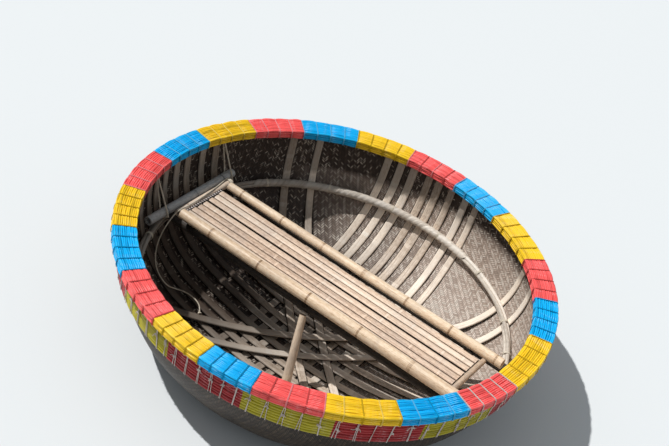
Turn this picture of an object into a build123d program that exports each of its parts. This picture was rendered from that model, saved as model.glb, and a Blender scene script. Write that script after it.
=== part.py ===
from build123d import *
import math
import os

# A round basket boat of woven split bamboo. Its lashed rim is a bundle of thin rods, painted in
# sections, and a bamboo bench lies on two poles across the bowl. Z = 0 is the waterline, with Z up,
# and X runs along the bench. Sizes are in millimetres, angles in degrees.

os.makedirs("parts", exist_ok=True)

# Driving dimensions of the whole boat
rim_top = 560.0
hull_radius = 980.0
hull_depth = 650.0
hull_wall = 12.0
side_lean = 5.0
side_drop = 160.0
bottom_arc_radius = 2150.0
bilge_staves = 5
bottom_staves = 3
seat_gap = 0.3

# The rim cap, a bundle of split rods over the edge of the basket
rim_reach_inside = 45.0
rim_reach_outside = 70.0
rim_thickness = 45.0
rim_top_rods = 10
rim_side_rods = 2
rod_groove_depth = 3.0
rim_slot_depth = 24.0
paint_start_angle = 120.0
# Each row: colour, then the angle that each of its seven sections takes, going clockwise
painted_spans = (
    ("yellow", (17, 20, 21, 18, 15, 17, 17)),
    ("red", (17, 17, 16, 17, 17, 18, 16)),
    ("blue", (17, 17, 18, 14, 17, 17, 17)),
)

# The band of rods below the cap, on the outside
band_depth = 145.0
band_thickness = 28.0
band_rods = 6
band_groove_depth = 4.0
band_sections = 16
band_start_angle = -122.0

# The cords that bind cap and band to the basket
lashings_per_section = 4
lashing_width = 8.0
lashing_thickness = 3.0

# Ribs: flat split bamboo inside the basket, in layers that cross over each other
rib_width = 36.0
rib_thickness = 9.0
rib_layer_pitch = 9.9
# Each row: node name, the direction the ribs run, and their places across that direction
rib_layers = (
    ("rib_across", -90.0, (-320.0, -250.0, -180.0, -90.0, -30.0, 50.0, 140.0, 210.0)),
    ("rib_along", 0.0, (-330.0, -245.0, -180.0, -99.0, -11.0, 68.0, 168.0, 251.0)),
    ("rib_slant_left", -45.0, (-70.0, 70.0)),
    ("rib_slant_right", 45.0, (-60.0, 78.0)),
)

# The hoop that holds the ribs against the basket
hoop_drop = 300.0
hoop_diameter = 36.0
hoop_sides = 8

# The bench and the two beams that carry it on the hoop. Its ends stand clear of the basket's edge
beam_diameter = 50.0
front_beam_y = -160.0
back_beam_y = 240.0
bearer_diameter = 30.0
bearer_inset = 60.0
bench_left_clearance = 220.0
bench_right_clearance = 210.0
slat_width = 38.0
slat_thickness = 18.0
slat_corner = 5.0
slat_count = 7
slat_gap = 2.5
slat_wide_gap = 8.0
slats_before_wide_gap = 4
bench_front = -229.0
front_culm_left_diameter = 52.0
front_culm_right_diameter = 64.0
front_culm_overhang = 90.0
back_culm_gap = 20.0
back_culm_left_diameter = 44.0
back_culm_right_diameter = 52.0
back_culm_overhang = 95.0
culm_wall = 7.0
crossrod_diameter = 30.0
crossbar_diameter = 36.0
crossbar_gap = 24.0
crossbar_overhang = 12.0
pole_sides = 16

# The yoke pole at the left end, hung from the rim by two rope slings
yoke_diameter = 46.0
yoke_gap = 1.5
yoke_front_overhang = 178.0
yoke_back_overhang = 60.0
sling_places = (-228.0, 266.0)
sling_rope_diameter = 8.0
sling_rope_sides = 6
sling_wrap_parts = 5
sling_top_inset = 8.0
sling_top_gap = 2.4
sling_top_spread = 10.0

# The raking post between the floor and the front beam
post_foot = (85.0, -324.0)
post_head = (0.0, -185.0)
post_foot_diameter = 47.0
post_head_diameter = 35.0

# The loose cord, from the crossbar's back end along it, down the side and in a loop on the ribs
cord_diameter = 6.0
cord_sides = 6
cord_route = (
    (-818, 228, 367.3),
    (-807, 151, 367.3),
    (-799, 69, 367.3),
    (-793, -17, 367.3),
    (-791, -104, 367.3),
    (-796, -185, 372.0),
    (-797, -242, 326.0),
    (-801, -276, 262.0),
    (-787, -310, 202.0),
    (-756, -338, 154.0),
    (-711, -356, 120.0),
    (-656, -351, 83.0),
    (-627, -318, 66.0),
    (-592, -278, 48.0),
    (-537, -262, 32.0),
    (-489, -279, 24.0),
    (-463, -318, 27.0),
)

# Radii, places and heights that follow from the sizes above
rim_inner_radius = hull_radius - rim_reach_inside
rim_outer_radius = hull_radius + rim_reach_outside
bench_left = bench_left_clearance - hull_radius
bench_right = hull_radius - bench_right_clearance
bearer_places = (bench_left + bearer_inset, 0, bench_right - bearer_inset)
crossbar_x = bench_left - crossbar_gap - crossbar_diameter / 2
yoke_front = front_beam_y - yoke_front_overhang
yoke_back = back_beam_y + yoke_back_overhang
sling_top_radius = rim_inner_radius + sling_top_inset
rim_underside = rim_top - rim_thickness
band_bottom = rim_underside - band_depth
hoop_z = rim_top - hoop_drop
beam_z = hoop_z + hoop_diameter / 2 + beam_diameter / 2
bearer_z = beam_z + beam_diameter / 2 + bearer_diameter / 2
slat_bottom = bearer_z + bearer_diameter / 2
slat_top = slat_bottom + slat_thickness
# Each rib layer is a bowl nested in the basket, as a row of depth and radius
nests = [(hull_depth - seat_gap - layer * rib_layer_pitch, hull_radius - seat_gap) for layer in range(len(rib_layers))]


def bowl_line(inset=0.0, depth=hull_depth, radius=hull_radius):
    """Return the half outline of a bowl, set in from its face, as points of radius and height from the lip
    down to the middle. Straight staves follow the leaning side, the bilge arc and the bottom arc."""
    lean = math.radians(side_lean)
    outward = Vector(math.cos(lean), -math.sin(lean))
    lip = Vector(radius, rim_top)
    side_end = lip - Vector(math.tan(lean), 1) * side_drop
    bottom_centre = Vector(0, rim_top - depth + bottom_arc_radius)
    reach = side_end - bottom_centre
    # The bilge arc leaves the side without a corner and meets the bottom arc without one
    bilge_radius = (bottom_arc_radius ** 2 - reach.dot(reach)) / (bottom_arc_radius - outward.dot(reach)) / 2
    bilge_centre = side_end - outward * bilge_radius
    to_bottom = bilge_centre - bottom_centre
    bilge_end = math.atan2(to_bottom.X, -to_bottom.Y)
    points = [lip - outward * inset]
    for stave in range(bilge_staves + 1):
        turn = math.radians(90) - lean - (math.radians(90) - lean - bilge_end) * stave / bilge_staves
        points.append(bilge_centre + Vector(math.sin(turn), -math.cos(turn)) * (bilge_radius - inset))
    for stave in range(bottom_staves - 1, 0, -1):
        turn = bilge_end * (2 * stave - 1) / (2 * bottom_staves - 1)
        points.append(bottom_centre + Vector(math.sin(turn), -math.cos(turn)) * (bottom_arc_radius - inset))
    points.append(Vector(0, points[-1].Y))
    return points


def bowl_radius(height, inset=0.0, depth=hull_depth, radius=hull_radius):
    """Return a bowl's radius at a height, set in from its face."""
    points = bowl_line(inset, depth, radius)
    for above, below in zip(points, points[1:]):
        if height >= below.Y:
            return below.X + (above.X - below.X) * (height - below.Y) / (above.Y - below.Y)
    return 0.0


def bowl_side(inset, depth, radius, top):
    """Return a bowl's outline, cut off level at the top."""
    points = bowl_line(inset, depth, radius)
    edge = Vector(bowl_radius(top, inset, depth, radius), top)
    return [(point.X, point.Y) for point in [edge] + points if point.Y <= top]


def bowl_layer(depth, radius, outer_inset, inner_inset, top):
    """Return the round layer of a bowl between two insets, cut off level at the top."""
    outer = bowl_side(outer_inset, depth, radius, top)
    inner = bowl_side(inner_inset, depth, radius, top)
    return revolve(Plane.XZ * make_face(Polyline(*outer, *inner[::-1], close=True)), Axis.Z, 360)


def ring_section(points, start_angle, span):
    """Return a solid turned from a closed outline of radius and height, over part of the circle."""
    section = Plane.XZ * make_face(Polyline(*points, close=True))
    return Rot(0, 0, start_angle) * revolve(section, Axis.Z, span)


def reeded(start, end, rods, depth, outward):
    """Return points along a line of rods side by side: the ridge of each rod and the groove before the next."""
    start = Vector(*start)
    pitch = (Vector(*end) - start) / rods
    points = [start + pitch / 2]
    for number in range(1, rods):
        groove = start + pitch * number - Vector(*outward) * depth
        points += [groove, start + pitch * (number + 0.5)]
    return [(point.X, point.Y) for point in points]


def write(name, *solids):
    """Write the solids of one node."""
    shape = solids[0] if len(solids) == 1 else Compound(children=list(solids))
    export_step(shape, f"parts/{name}.step")


# The woven basket, whose top edge stands in the slot of the rim cap
hull_top = rim_underside + rim_slot_depth
write("hull_basket", bowl_layer(hull_depth, hull_radius, -hull_wall, 0, hull_top))

# The rim cap: its outline has a groove between rods on top and on both sides, and the slot below
inner_foot = (rim_inner_radius, rim_underside)
outer_foot = (rim_outer_radius, rim_underside)
inner_edge = (rim_inner_radius, rim_top)
outer_edge = (rim_outer_radius, rim_top)
cap_outline = [inner_foot]
cap_outline += reeded(inner_foot, inner_edge, rim_side_rods, rod_groove_depth, (-1, 0))
cap_outline += reeded(inner_edge, outer_edge, rim_top_rods, rod_groove_depth, (0, 1))
cap_outline += reeded(outer_edge, outer_foot, rim_side_rods, rod_groove_depth, (1, 0))
cap_outline += [
    outer_foot,
    (bowl_radius(rim_underside, -hull_wall - seat_gap), rim_underside),
    (bowl_radius(hull_top, -hull_wall - seat_gap), hull_top),
    (bowl_radius(hull_top, seat_gap), hull_top),
    (bowl_radius(rim_underside, seat_gap), rim_underside),
]
total_span = sum(sum(spans) for colour, spans in painted_spans)
painted = {colour: [] for colour, spans in painted_spans}
lashing_angles = []
angle = paint_start_angle
for turn in range(len(painted_spans[0][1])):
    for colour, spans in painted_spans:
        span = spans[turn] * 360 / total_span
        painted[colour].append(ring_section(cap_outline, angle - span, span))
        lashing_angles += [angle - span * part / lashings_per_section for part in range(lashings_per_section)]
        angle -= span
for colour, sections in painted.items():
    write(f"rim_{colour}", *sections)

# The outer band: rods round the basket under the cap, against the basket's outer face
band_lean = math.tan(math.radians(side_lean)) * band_depth
band_inner_radius = bowl_radius(rim_underside, -hull_wall - seat_gap)
band_top_radius = band_inner_radius + band_thickness
band_bottom_radius = band_top_radius - band_lean
band_top = (band_top_radius, rim_underside)
band_foot = (band_bottom_radius, band_bottom)
band_outline = [band_top] + reeded(band_top, band_foot, band_rods, band_groove_depth, (1, 0)) + [band_foot]
band_outline += [(band_inner_radius - band_lean, band_bottom), (band_inner_radius, rim_underside)]
band_span = 360 / band_sections
for place, colour in enumerate(("yellow", "red")):
    sections = []
    for number in range(place, band_sections, 2):
        sections.append(ring_section(band_outline, band_start_angle + number * band_span, band_span))
    write(f"band_{colour}", *sections)


def thickened(path, thickness):
    """Return the outline of a strip that lies on the left of a path of radius and height."""
    points = [Vector(*point) for point in path]
    normals = []
    for here, there in zip(points, points[1:]):
        ahead = (there - here).normalized()
        normals.append(Vector(-ahead.Y, ahead.X))
    outer = []
    for number, point in enumerate(points):
        before = normals[max(number - 1, 0)]
        after = normals[min(number, len(normals) - 1)]
        outer.append(point + (before + after) * (thickness / (1 + before.dot(after))))
    return [(point.X, point.Y) for point in points + outer[::-1]]


# The lashings: each goes up the cap's inner side, over it, and down to the foot of the band
lashing_path = (
    (rim_inner_radius - seat_gap, rim_underside),
    (rim_inner_radius - seat_gap, rim_top + seat_gap),
    (rim_outer_radius + seat_gap, rim_top + seat_gap),
    (rim_outer_radius + seat_gap, rim_underside),
    (band_bottom_radius + seat_gap, band_bottom),
)
lashing_face = Plane.XZ * make_face(Polyline(*thickened(lashing_path, lashing_thickness), close=True))
lashing = extrude(lashing_face, lashing_width / 2, both=True)
write("rim_lashings", *[Rot(0, 0, angle) * lashing for angle in lashing_angles])

# The ribs, each cut from a thin bowl that nests in the basket, one bowl deeper for each layer
for layer, (name, direction, places) in enumerate(rib_layers):
    nest = bowl_layer(*nests[layer], 0, rib_thickness, rim_underside - seat_gap)
    for number, place in enumerate(places, start=1):
        strip = Rot(0, 0, direction) * Pos(0, place, 0) * Box(3 * hull_radius, rib_width, 3 * hull_depth)
        write(f"{name}_{number}", nest & strip)

# The inner hoop
hoop_inset = rib_thickness + seat_gap + hoop_diameter / 2
hoop_radius = min(bowl_radius(hoop_z, hoop_inset, *nest) for nest in nests)
hoop_section = Plane.XZ * Pos(hoop_radius, hoop_z) * RegularPolygon(hoop_diameter / 2, hoop_sides)
write("inner_hoop", revolve(hoop_section, Axis.Z, 360))


def pole(start, end, start_diameter, end_diameter=None):
    """Return a round pole between the centres of its two ends, or one of flat sides that tapers."""
    start = Vector(*start)
    end = Vector(*end)
    if end_diameter is None:
        return Plane(origin=(start + end) / 2, z_dir=end - start) * Cylinder(start_diameter / 2, (end - start).length)
    rings = []
    for place, diameter in ((start, start_diameter), (end, end_diameter)):
        rings.append(Plane(origin=place, z_dir=end - start) * RegularPolygon(diameter / 2, pole_sides))
    return loft(rings, ruled=True)


# The two beams lie on the hoop and end just inside the ribs
for name, beam_y in (("front", front_beam_y), ("back", back_beam_y)):
    wall_radius = min(bowl_radius(beam_z - beam_diameter / 2, rib_thickness + seat_gap, *nest) for nest in nests)
    beam_end = math.sqrt(wall_radius ** 2 - (abs(beam_y) + beam_diameter / 2) ** 2)
    write(f"bench_beam_{name}", pole((-beam_end, beam_y, beam_z), (beam_end, beam_y, beam_z), beam_diameter))

# The slats lie side by side between the front culm and the back culm
slat_front = bench_front + max(front_culm_left_diameter, front_culm_right_diameter) + seat_gap
slat_ys = []
slat_y = slat_front
for number in range(slat_count):
    slat_ys.append(slat_y + slat_width / 2)
    slat_y += slat_width + (slat_wide_gap if number + 1 == slats_before_wide_gap else slat_gap)
slat_length = bench_right - bench_left
slats = []
for slat_y in slat_ys:
    slat = Pos((bench_left + bench_right) / 2, slat_y, slat_bottom + slat_thickness / 2)
    slat *= Box(slat_length, slat_width, slat_thickness)
    slats.append(chamfer(slat.edges().filter_by(Axis.X).group_by(Axis.Z)[-1], slat_corner))
write("bench_slats", *slats)
slat_back = slat_ys[-1] + slat_width / 2

# The bench's front and back edges are tapered hollow culms, and stand out past the slats at the right
front_culm_y = bench_front + front_culm_right_diameter / 2
back_culm_y = slat_back + back_culm_gap + back_culm_right_diameter / 2
# Each row: node name, place across the bench, right overhang, then the diameters at the left and right ends
culms = (
    ("bench_front_culm", front_culm_y, front_culm_overhang, front_culm_left_diameter, front_culm_right_diameter),
    ("bench_back_culm", back_culm_y, back_culm_overhang, back_culm_left_diameter, back_culm_right_diameter),
)
for name, culm_y, overhang, left_diameter, right_diameter in culms:
    culm_ends = (
        (bench_left, culm_y, slat_bottom + left_diameter / 2),
        (bench_right + overhang, culm_y, slat_bottom + right_diameter / 2),
    )
    bore = pole(*culm_ends, left_diameter - 2 * culm_wall, right_diameter - 2 * culm_wall)
    write(name, pole(*culm_ends, left_diameter, right_diameter) - bore)

# The crossrod closes the slats' right ends, level with their tops, from one culm to the other
crossrod_x = bench_right + seat_gap + crossrod_diameter / 2
crossrod_z = slat_top - crossrod_diameter / 2
crossrod_front = front_culm_y + front_culm_right_diameter / 2 + seat_gap
crossrod_back = back_culm_y - back_culm_right_diameter / 2 - seat_gap
write(
    "bench_crossrod",
    pole((crossrod_x, crossrod_front, crossrod_z), (crossrod_x, crossrod_back, crossrod_z), crossrod_diameter),
)

# Three bearers lie across the beams and carry slats and culms
bearers = [
    pole((bearer_x, bench_front, bearer_z), (bearer_x, back_beam_y, bearer_z), bearer_diameter)
    for bearer_x in bearer_places
]
write("bench_bearers", *bearers)

# The crossbar lies on the beams at the left end of the slats
crossbar_z = beam_z + beam_diameter / 2 + crossbar_diameter / 2
crossbar_front = front_beam_y - crossbar_overhang
write(
    "bench_crossbar",
    pole((crossbar_x, crossbar_front, crossbar_z), (crossbar_x, back_beam_y, crossbar_z), crossbar_diameter),
)

# The yoke pole lies on the beams beside the crossbar
yoke_x = crossbar_x - crossbar_diameter / 2 - yoke_gap - yoke_diameter / 2
yoke_z = beam_z + beam_diameter / 2 + yoke_diameter / 2
write("yoke_pole", pole((yoke_x, yoke_front, yoke_z), (yoke_x, yoke_back, yoke_z), yoke_diameter))


def tangent_turn(point, centre, radius, side):
    """Return the direction, in degrees, in which a line from the point touches a circle, on side 1 or -1."""
    away = point - centre
    return math.degrees(math.atan2(away.Y, away.X) + math.acos(radius / away.length) * side)


# Each sling is one doubled rope, from the cap's underside down and under the yoke pole
slings = []
for sling_y in sling_places:
    centre = Vector(yoke_x, yoke_z)
    wrap_radius = yoke_diameter / 2 + seat_gap + sling_rope_diameter / 2
    top_z = rim_underside - sling_top_gap
    outer_top = Vector(-math.sqrt((sling_top_radius + sling_top_spread) ** 2 - sling_y ** 2), top_z)
    inner_top = Vector(-math.sqrt(sling_top_radius ** 2 - sling_y ** 2), top_z)
    outer_turn = tangent_turn(outer_top, centre, wrap_radius, 1)
    inner_turn = tangent_turn(inner_top, centre, wrap_radius, -1) + 360
    # The rope bends round the pole in a few straight parts that stand just clear of it
    part_turn = (inner_turn - outer_turn) / sling_wrap_parts
    corner_radius = wrap_radius / math.cos(math.radians(part_turn / 2))
    corners = [
        centre + Vector(corner_radius, 0).rotate(Axis.Z, outer_turn + part_turn * (part + 0.5))
        for part in range(sling_wrap_parts)
    ]
    route = Polyline(outer_top, *corners, inner_top)
    section = Plane(origin=outer_top, z_dir=corners[0] - outer_top) * RegularPolygon(
        sling_rope_diameter / 2, sling_rope_sides
    )
    slings.append(Plane.XZ.offset(-sling_y) * sweep(section, path=route, transition=Transition.RIGHT))
write("yoke_slings", *slings)

# The raking post stands on the ribs and is hollowed at its head to fit under the front beam
foot_nest = nests[1]
foot_inset = rib_thickness + seat_gap
floor_z = rim_top - foot_nest[0] + foot_inset + math.hypot(*post_foot) ** 2 / (2 * bottom_arc_radius)
post_line_top = Vector(*post_head, beam_z)
post_line_foot = Vector(*post_foot, floor_z)
post_run_out = (post_line_foot - post_line_top).normalized() * post_foot_diameter
post = pole(post_line_foot + post_run_out, post_line_top, post_foot_diameter, post_head_diameter)
foot_room = [(0, beam_z)] + bowl_side(foot_inset, *foot_nest, beam_z)
post &= revolve(Plane.XZ * make_face(Polyline(*foot_room, close=True)), Axis.Z, 360)
post -= pole(
    (-hull_radius, front_beam_y, beam_z), (hull_radius, front_beam_y, beam_z), beam_diameter + 2 * seat_gap
)
write("floor_post", post.solids().sort_by(SortBy.VOLUME)[-1])

# The loose cord bends at each point of its route by an arc as large as the two runs beside it allow
runs = [Vector(*there) - Vector(*here) for here, there in zip(cord_route, cord_route[1:])]
cord_radii = []
for before, after in zip(runs, runs[1:]):
    half_turn = math.radians(before.get_angle(after)) / 2
    cord_radii.append(0.45 * min(before.length, after.length) / math.tan(half_turn))
cord_line = FilletPolyline(*cord_route, radius=cord_radii)
cord_end = Plane(origin=cord_route[0], z_dir=runs[0]) * RegularPolygon(cord_diameter / 2, cord_sides)
write("loose_cord", sweep(cord_end, path=cord_line))
print("cord radii", [round(radius) for radius in cord_radii], "length", round(cord_line.length))
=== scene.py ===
import math
import random

import bpy
import numpy as np
from mathutils import Matrix, Vector


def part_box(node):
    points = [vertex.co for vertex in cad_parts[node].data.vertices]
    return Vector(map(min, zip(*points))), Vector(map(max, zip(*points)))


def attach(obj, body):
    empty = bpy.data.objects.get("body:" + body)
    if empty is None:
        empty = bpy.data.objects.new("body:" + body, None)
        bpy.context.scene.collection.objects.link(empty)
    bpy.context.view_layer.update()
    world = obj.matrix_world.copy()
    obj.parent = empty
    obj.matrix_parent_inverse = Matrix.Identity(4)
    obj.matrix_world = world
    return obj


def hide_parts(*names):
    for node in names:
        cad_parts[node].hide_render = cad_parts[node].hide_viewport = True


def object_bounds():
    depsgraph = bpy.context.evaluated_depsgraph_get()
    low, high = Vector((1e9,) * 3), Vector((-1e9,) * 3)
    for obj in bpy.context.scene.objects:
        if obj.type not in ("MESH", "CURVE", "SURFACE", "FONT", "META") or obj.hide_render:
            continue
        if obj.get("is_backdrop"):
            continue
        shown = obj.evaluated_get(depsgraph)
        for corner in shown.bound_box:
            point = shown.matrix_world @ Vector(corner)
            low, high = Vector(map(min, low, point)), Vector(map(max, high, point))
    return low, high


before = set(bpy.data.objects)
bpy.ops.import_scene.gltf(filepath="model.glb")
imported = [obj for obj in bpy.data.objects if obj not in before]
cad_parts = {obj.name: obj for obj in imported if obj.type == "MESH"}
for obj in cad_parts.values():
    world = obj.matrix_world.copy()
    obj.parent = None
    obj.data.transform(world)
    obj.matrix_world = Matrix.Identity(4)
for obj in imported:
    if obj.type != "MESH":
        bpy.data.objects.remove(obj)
cad_low, cad_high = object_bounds()


# The camera stands in front and above, a little to the right of the bench's long side, and is
# rolled, so that the level boat lies across the picture as the heeling one does in the photograph.
def placed(name, data):
    """Add an object to the scene."""
    made = bpy.data.objects.new(name, data)
    bpy.context.scene.collection.objects.link(made)
    return made


view_from = (2.2176, -4.8004, 4.5738)
view_turn = math.radians(25.5)
view_below_level = 0.631838
view_roll = 0.298555
camera_data = bpy.data.cameras.new("photograph_view")
camera_data.lens = 77.72
camera_data.sensor_width = 36.0
camera = placed("photograph_view", camera_data)
bpy.context.scene.camera = camera
camera.matrix_world = (
    Matrix.Translation(view_from) @ Matrix.Rotation(view_turn, 4, "Z")
    @ Matrix.Rotation(math.pi / 2 - view_below_level, 4, "X") @ Matrix.Rotation(view_roll, 4, "Z")
)


# The loose cord is a thin pale line, hitched round the back end of the crossbar. It lies along the
# bar, hangs from its front end down to the left side, and ends in an open loop on the ribs.
def distances(points):
    """Return how far along a line each of its points lies."""
    return np.concatenate([[0], np.cumsum(np.linalg.norm(np.diff(points, axis=0), axis=1))])


def unit(directions):
    """Return directions with a length of 1."""
    return directions / np.linalg.norm(directions, axis=-1, keepdims=True)


def circle(radius, sides, start=0.0):
    """Return a round section."""
    turns = start + np.arange(sides) * 2 * math.pi / sides
    return radius * np.stack([np.cos(turns), np.sin(turns)], 1)


def carried(path):
    """Return two directions at right angles to a path, carried along it without a twist."""
    ahead = unit(np.gradient(path, axis=0))
    rows = [unit(np.cross(ahead[0], (0, 0, 1) if abs(ahead[0][2]) < 0.9 else (1, 0, 0)))]
    for place in ahead[1:]:
        rows.append(unit(rows[-1] - place * rows[-1].dot(place)))
    across = np.array(rows)
    return across, np.cross(across, ahead)


class Gathered:
    """Faces, their texture places and their tones, gathered from many parts into one mesh."""

    def __init__(self):
        self.points = []
        self.faces = []
        self.places = []
        self.tones = []
        self.finishes = []
        self.count = 0

    def sweep(self, path, across, outward, section, tone=0.5, finish=0, round_again=False):
        """Add a section, given as offsets across and outward, carried along a path. A tone is one
        number, or one for each point of the path. A finish is one number, or one for each side."""
        path = np.asarray(path, float)
        rows = len(path)
        across = np.broadcast_to(across, path.shape)
        outward = np.broadcast_to(outward, path.shape)
        section = np.asarray(section, float)
        section = np.broadcast_to(section, (rows,) + section.shape[-2:])
        columns = section.shape[1]
        points = path[:, None] + section[:, :, :1] * across[:, None] + section[:, :, 1:] * outward[:, None]
        self.points.append(points.reshape(-1, 3))
        lengths = distances(path)
        girth = distances(np.concatenate([section[0], section[0][:1]]))
        last = rows if round_again else rows - 1
        for row in range(last):
            below = (row + 1) % rows
            low, high = lengths[row], lengths[below] if below else lengths[-1] + lengths[1]
            for column in range(columns):
                beside = (column + 1) % columns
                corners = (row, column), (row, beside), (below, beside), (below, column)
                self.faces.append([self.count + ring * columns + place for ring, place in corners])
                left, right = girth[column:column + 2]
                self.places += [(low, left), (low, right), (high, right), (high, left)]
        ends = 0 if round_again else 2
        if ends:
            first = list(range(self.count, self.count + columns))
            self.faces += [first[::-1], [number + (rows - 1) * columns for number in first]]
            self.places += section[0][::-1].tolist() + section[-1].tolist()
        ring_tones = np.broadcast_to(tone, (rows,))
        self.tones += np.repeat(ring_tones[:last], columns).tolist() + ring_tones[[0, -1]][:ends].tolist()
        side_finishes = np.broadcast_to(finish, (columns,)).tolist()
        self.finishes += side_finishes * last + side_finishes[:1] * ends
        self.count += rows * columns

    def strand(self, path, radius, sides, tone=0.5, finish=0):
        """Add a round strand along a path."""
        self.sweep(path, *carried(path), circle(radius, sides), tone, finish)

    def piece(self, name, materials, slot, replaced=(), smooth=40.0):
        """Make the object, and fix it to the boat."""
        mesh = bpy.data.meshes.new(name)
        mesh.from_pydata(np.concatenate(self.points).tolist(), [], self.faces)
        mesh.uv_layers.new(name="along").data.foreach_set("uv", np.asarray(self.places, np.float32).ravel())
        tones = np.asarray(self.tones, np.float32)
        mesh.attributes.new("tone", "FLOAT", "FACE").data.foreach_set("value", tones)
        for material in materials:
            mesh.materials.append(material)
        mesh.polygons.foreach_set("material_index", self.finishes)
        mesh.shade_smooth()
        mesh.set_sharp_from_angle(angle=math.radians(smooth))
        mesh.update()
        made = placed(name, mesh)
        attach(made, "root")
        if replaced:
            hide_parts(*replaced)
        return made


class Value:
    """A number or colour that differs over a surface."""

    def __init__(self, finish, socket):
        self.finish = finish
        self.socket = socket

    def __add__(self, other):
        return self.finish.math("ADD", self, other)

    def __sub__(self, other):
        return self.finish.math("SUBTRACT", self, other)

    def __rsub__(self, other):
        return self.finish.math("SUBTRACT", other, self)

    def __mul__(self, other):
        return self.finish.math("MULTIPLY", self, other)

    def __truediv__(self, other):
        return self.finish.math("DIVIDE", self, other)

    def __pow__(self, other):
        return self.finish.math("POWER", self, other)


class Finish:
    """A material, with short calls for the nodes that colour it."""

    def __init__(self, name, roughness, specular):
        self.material = bpy.data.materials.new(name)
        self.material.use_nodes = True
        self.tree = self.material.node_tree
        self.shader = self.tree.nodes["Principled BSDF"]
        self.put("Roughness", roughness)
        self.put("Specular IOR Level", specular)

    def put(self, socket, value):
        """Set a socket, or link it. A name is that of a socket of the shader."""
        socket = self.shader.inputs[socket] if isinstance(socket, str) else socket
        if isinstance(value, Value):
            self.tree.links.new(value.socket, socket)
        elif socket.type == "RGBA":
            socket.default_value = (*value, 1)
        else:
            socket.default_value = value

    def node(self, kind, sockets, output=0, **settings):
        """Add a node, set it and its sockets, and return one of its outputs."""
        node = self.tree.nodes.new("ShaderNode" + kind)
        for name, setting in settings.items():
            setattr(node, name, setting)
        for name, value in sockets.items():
            self.put(node.inputs[name], value)
        return Value(self, node.outputs[output])

    def math(self, operation, *values):
        return self.node("Math", dict(enumerate(values)), operation=operation)

    def place(self, *stretch):
        """Return the place in the boat, or with a stretch the place along and across the piece."""
        if not stretch:
            return self.node("TexCoord", {}, "Object")
        return self.node("Mapping", {"Vector": self.node("TexCoord", {}, "UV"), "Scale": (*stretch, 1)})

    def split(self, place):
        """Return the three parts of a place."""
        return [self.node("SeparateXYZ", {0: place}, part) for part in range(3)]

    def noise(self, scale, detail=3.0, distortion=0.0, place=None):
        place = place or self.place()
        sockets = {"Vector": place, "Scale": scale, "Detail": detail, "Distortion": distortion}
        return self.node("TexNoise", sockets, "Fac")

    def grain(self, along, across, detail=3.0, distortion=0.0):
        """Return noise that is drawn out along the piece."""
        return self.noise(1.0, detail, distortion, self.place(along, across))

    def clean(self, start, right, back, up):
        """Return 0 where mud and painted shade darken the inside of the bowl, to 1 where it is bare and
        unshaded.
        """
        value = self.noise(3.5, 4) * 0.5 + (start - 0.25)
        for place, slope in zip(self.split(self.place()), (right, back, up)):
            value = value + place * slope
        return self.grey(value, 0.0, 1.0)

    def soiled_and_shaded(self, colour, clean, soil_and_shade):
        """Return a colour that mud and painted shade darken where the mask is below 1."""
        return self.mix(1.0, colour, self.mix(clean, soil_and_shade, (1, 1, 1)), "MULTIPLY")

    def tone(self):
        """Return the tone that a part was gathered with."""
        return self.node("Attribute", {}, "Fac", attribute_name="tone")

    def ramp(self, value, *stops):
        """Return the colour at a value, from rows of place and colour."""
        colour = self.node("ValToRGB", {0: value})
        marks = colour.socket.node.color_ramp.elements
        while len(marks) < len(stops):
            marks.new(1.0)
        for mark, (place, stop) in zip(marks, stops):
            mark.position = place
            mark.color = (*stop, 1)
        return colour

    def grey(self, value, low, high):
        """Return 0 to 1 as a value goes from low to high."""
        return self.node("MapRange", {"Value": value, "From Min": low, "From Max": high})

    def mix(self, share, first, second, kind="MIX"):
        """Return a mix of two colours."""
        return self.node("Mix", {0: share, 6: first, 7: second}, 2, data_type="RGBA", blend_type=kind)

    def bump(self, height, distance, strength=1.0):
        """Raise the surface by a height between 0 and 1."""
        sockets = {"Height": height, "Distance": distance, "Strength": strength}
        self.put("Normal", self.node("Bump", sockets))


def laid_rope(name, pale, dark, turns_per_metre):
    """Return a finish of twisted strands."""
    rope = Finish(name, 0.85, 0.2)
    along, across, depth = rope.split(rope.place(turns_per_metre, 90))
    lay = rope.grey(rope.math("SINE", (along + across) * 6.283), -1, 1)
    dirt = rope.grey(rope.noise(40, 4), 0.35, 0.7)
    rope.put("Base Color", rope.mix(dirt, rope.mix(lay, dark, pale), dark))
    rope.bump(lay, 0.0006)
    return rope.material


cord_diameter = 0.006
cord_route = (
    (-0.818, 0.228, 0.3673), (-0.807, 0.151, 0.3673), (-0.799, 0.069, 0.3673), (-0.793, -0.017, 0.3673),
    (-0.791, -0.104, 0.3673), (-0.796, -0.185, 0.3720), (-0.797, -0.242, 0.3260), (-0.801, -0.276, 0.2620),
    (-0.787, -0.310, 0.2020), (-0.756, -0.338, 0.1540), (-0.711, -0.356, 0.1200), (-0.656, -0.351, 0.0830),
    (-0.627, -0.318, 0.0660), (-0.592, -0.278, 0.0480), (-0.537, -0.262, 0.0320), (-0.489, -0.279, 0.0240),
    (-0.463, -0.318, 0.0270),
)
cord_curve = bpy.data.curves.new("loose_cord_line", "CURVE")
cord_curve.dimensions = "3D"
cord_curve.bevel_depth = cord_diameter / 2
cord_curve.bevel_resolution = 3
cord_curve.resolution_u = 10
cord_curve.use_fill_caps = True
cord_spline = cord_curve.splines.new("NURBS")
cord_spline.points.add(len(cord_route) - 1)
for spline_point, route_point in zip(cord_spline.points, cord_route):
    spline_point.co = (*route_point, 1)
cord_spline.order_u = 3
cord_spline.use_endpoint_u = True
pale_cord = laid_rope("pale_cord", (0.88, 0.80, 0.67), (0.52, 0.45, 0.35), 160)
cord_curve.materials.append(pale_cord)
loose_line = placed("loose_line", cord_curve)
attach(loose_line, "root")
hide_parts("loose_cord")
knotted_radius = 0.0028
stopper_size = 0.0042
stopper_turns = np.linspace(0, 2 * math.pi, 40)
stopper = Gathered()
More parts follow.
